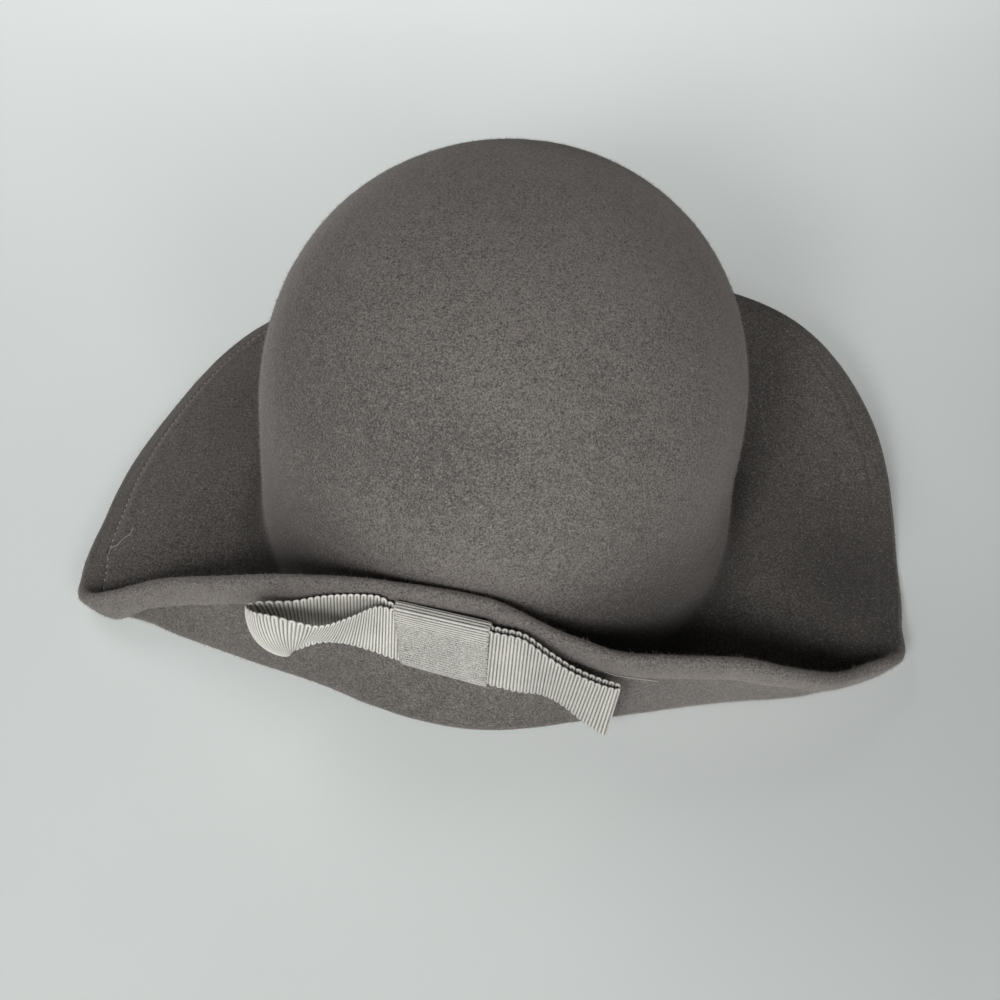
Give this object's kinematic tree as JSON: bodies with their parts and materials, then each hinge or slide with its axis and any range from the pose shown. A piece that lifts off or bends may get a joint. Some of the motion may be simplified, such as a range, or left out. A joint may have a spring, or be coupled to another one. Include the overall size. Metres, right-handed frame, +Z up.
{
  "type": "floppy felt hat with a turned-up front brim and a ribbon bow",
  "caption": "Soft grey-brown felt hat: a round crown, a wavy hemmed brim folded up against the crown at the front, and a grey ribbed ribbon bow sewn on it.",
  "frame": {"origin": "on the table under the middle of the hat's outline", "axes": "+X to the wearer's left, the right side seen from the front, along the longest extent; -Y the turned-up front; +Z up, out of the crown"},
  "size_m": [0.3122, 0.281, 0.1602],
  "materials": {
    "felt": "dull wool felt, finely napped, warm grey-brown",
    "ribbon": "ribbed grosgrain ribbon, satin, silver grey"
  },
  "bodies": {
    "root": {"felt_body": "felt", "bow_loops": "ribbon", "bow_knot": "ribbon"}
  },
  "joints": []
}
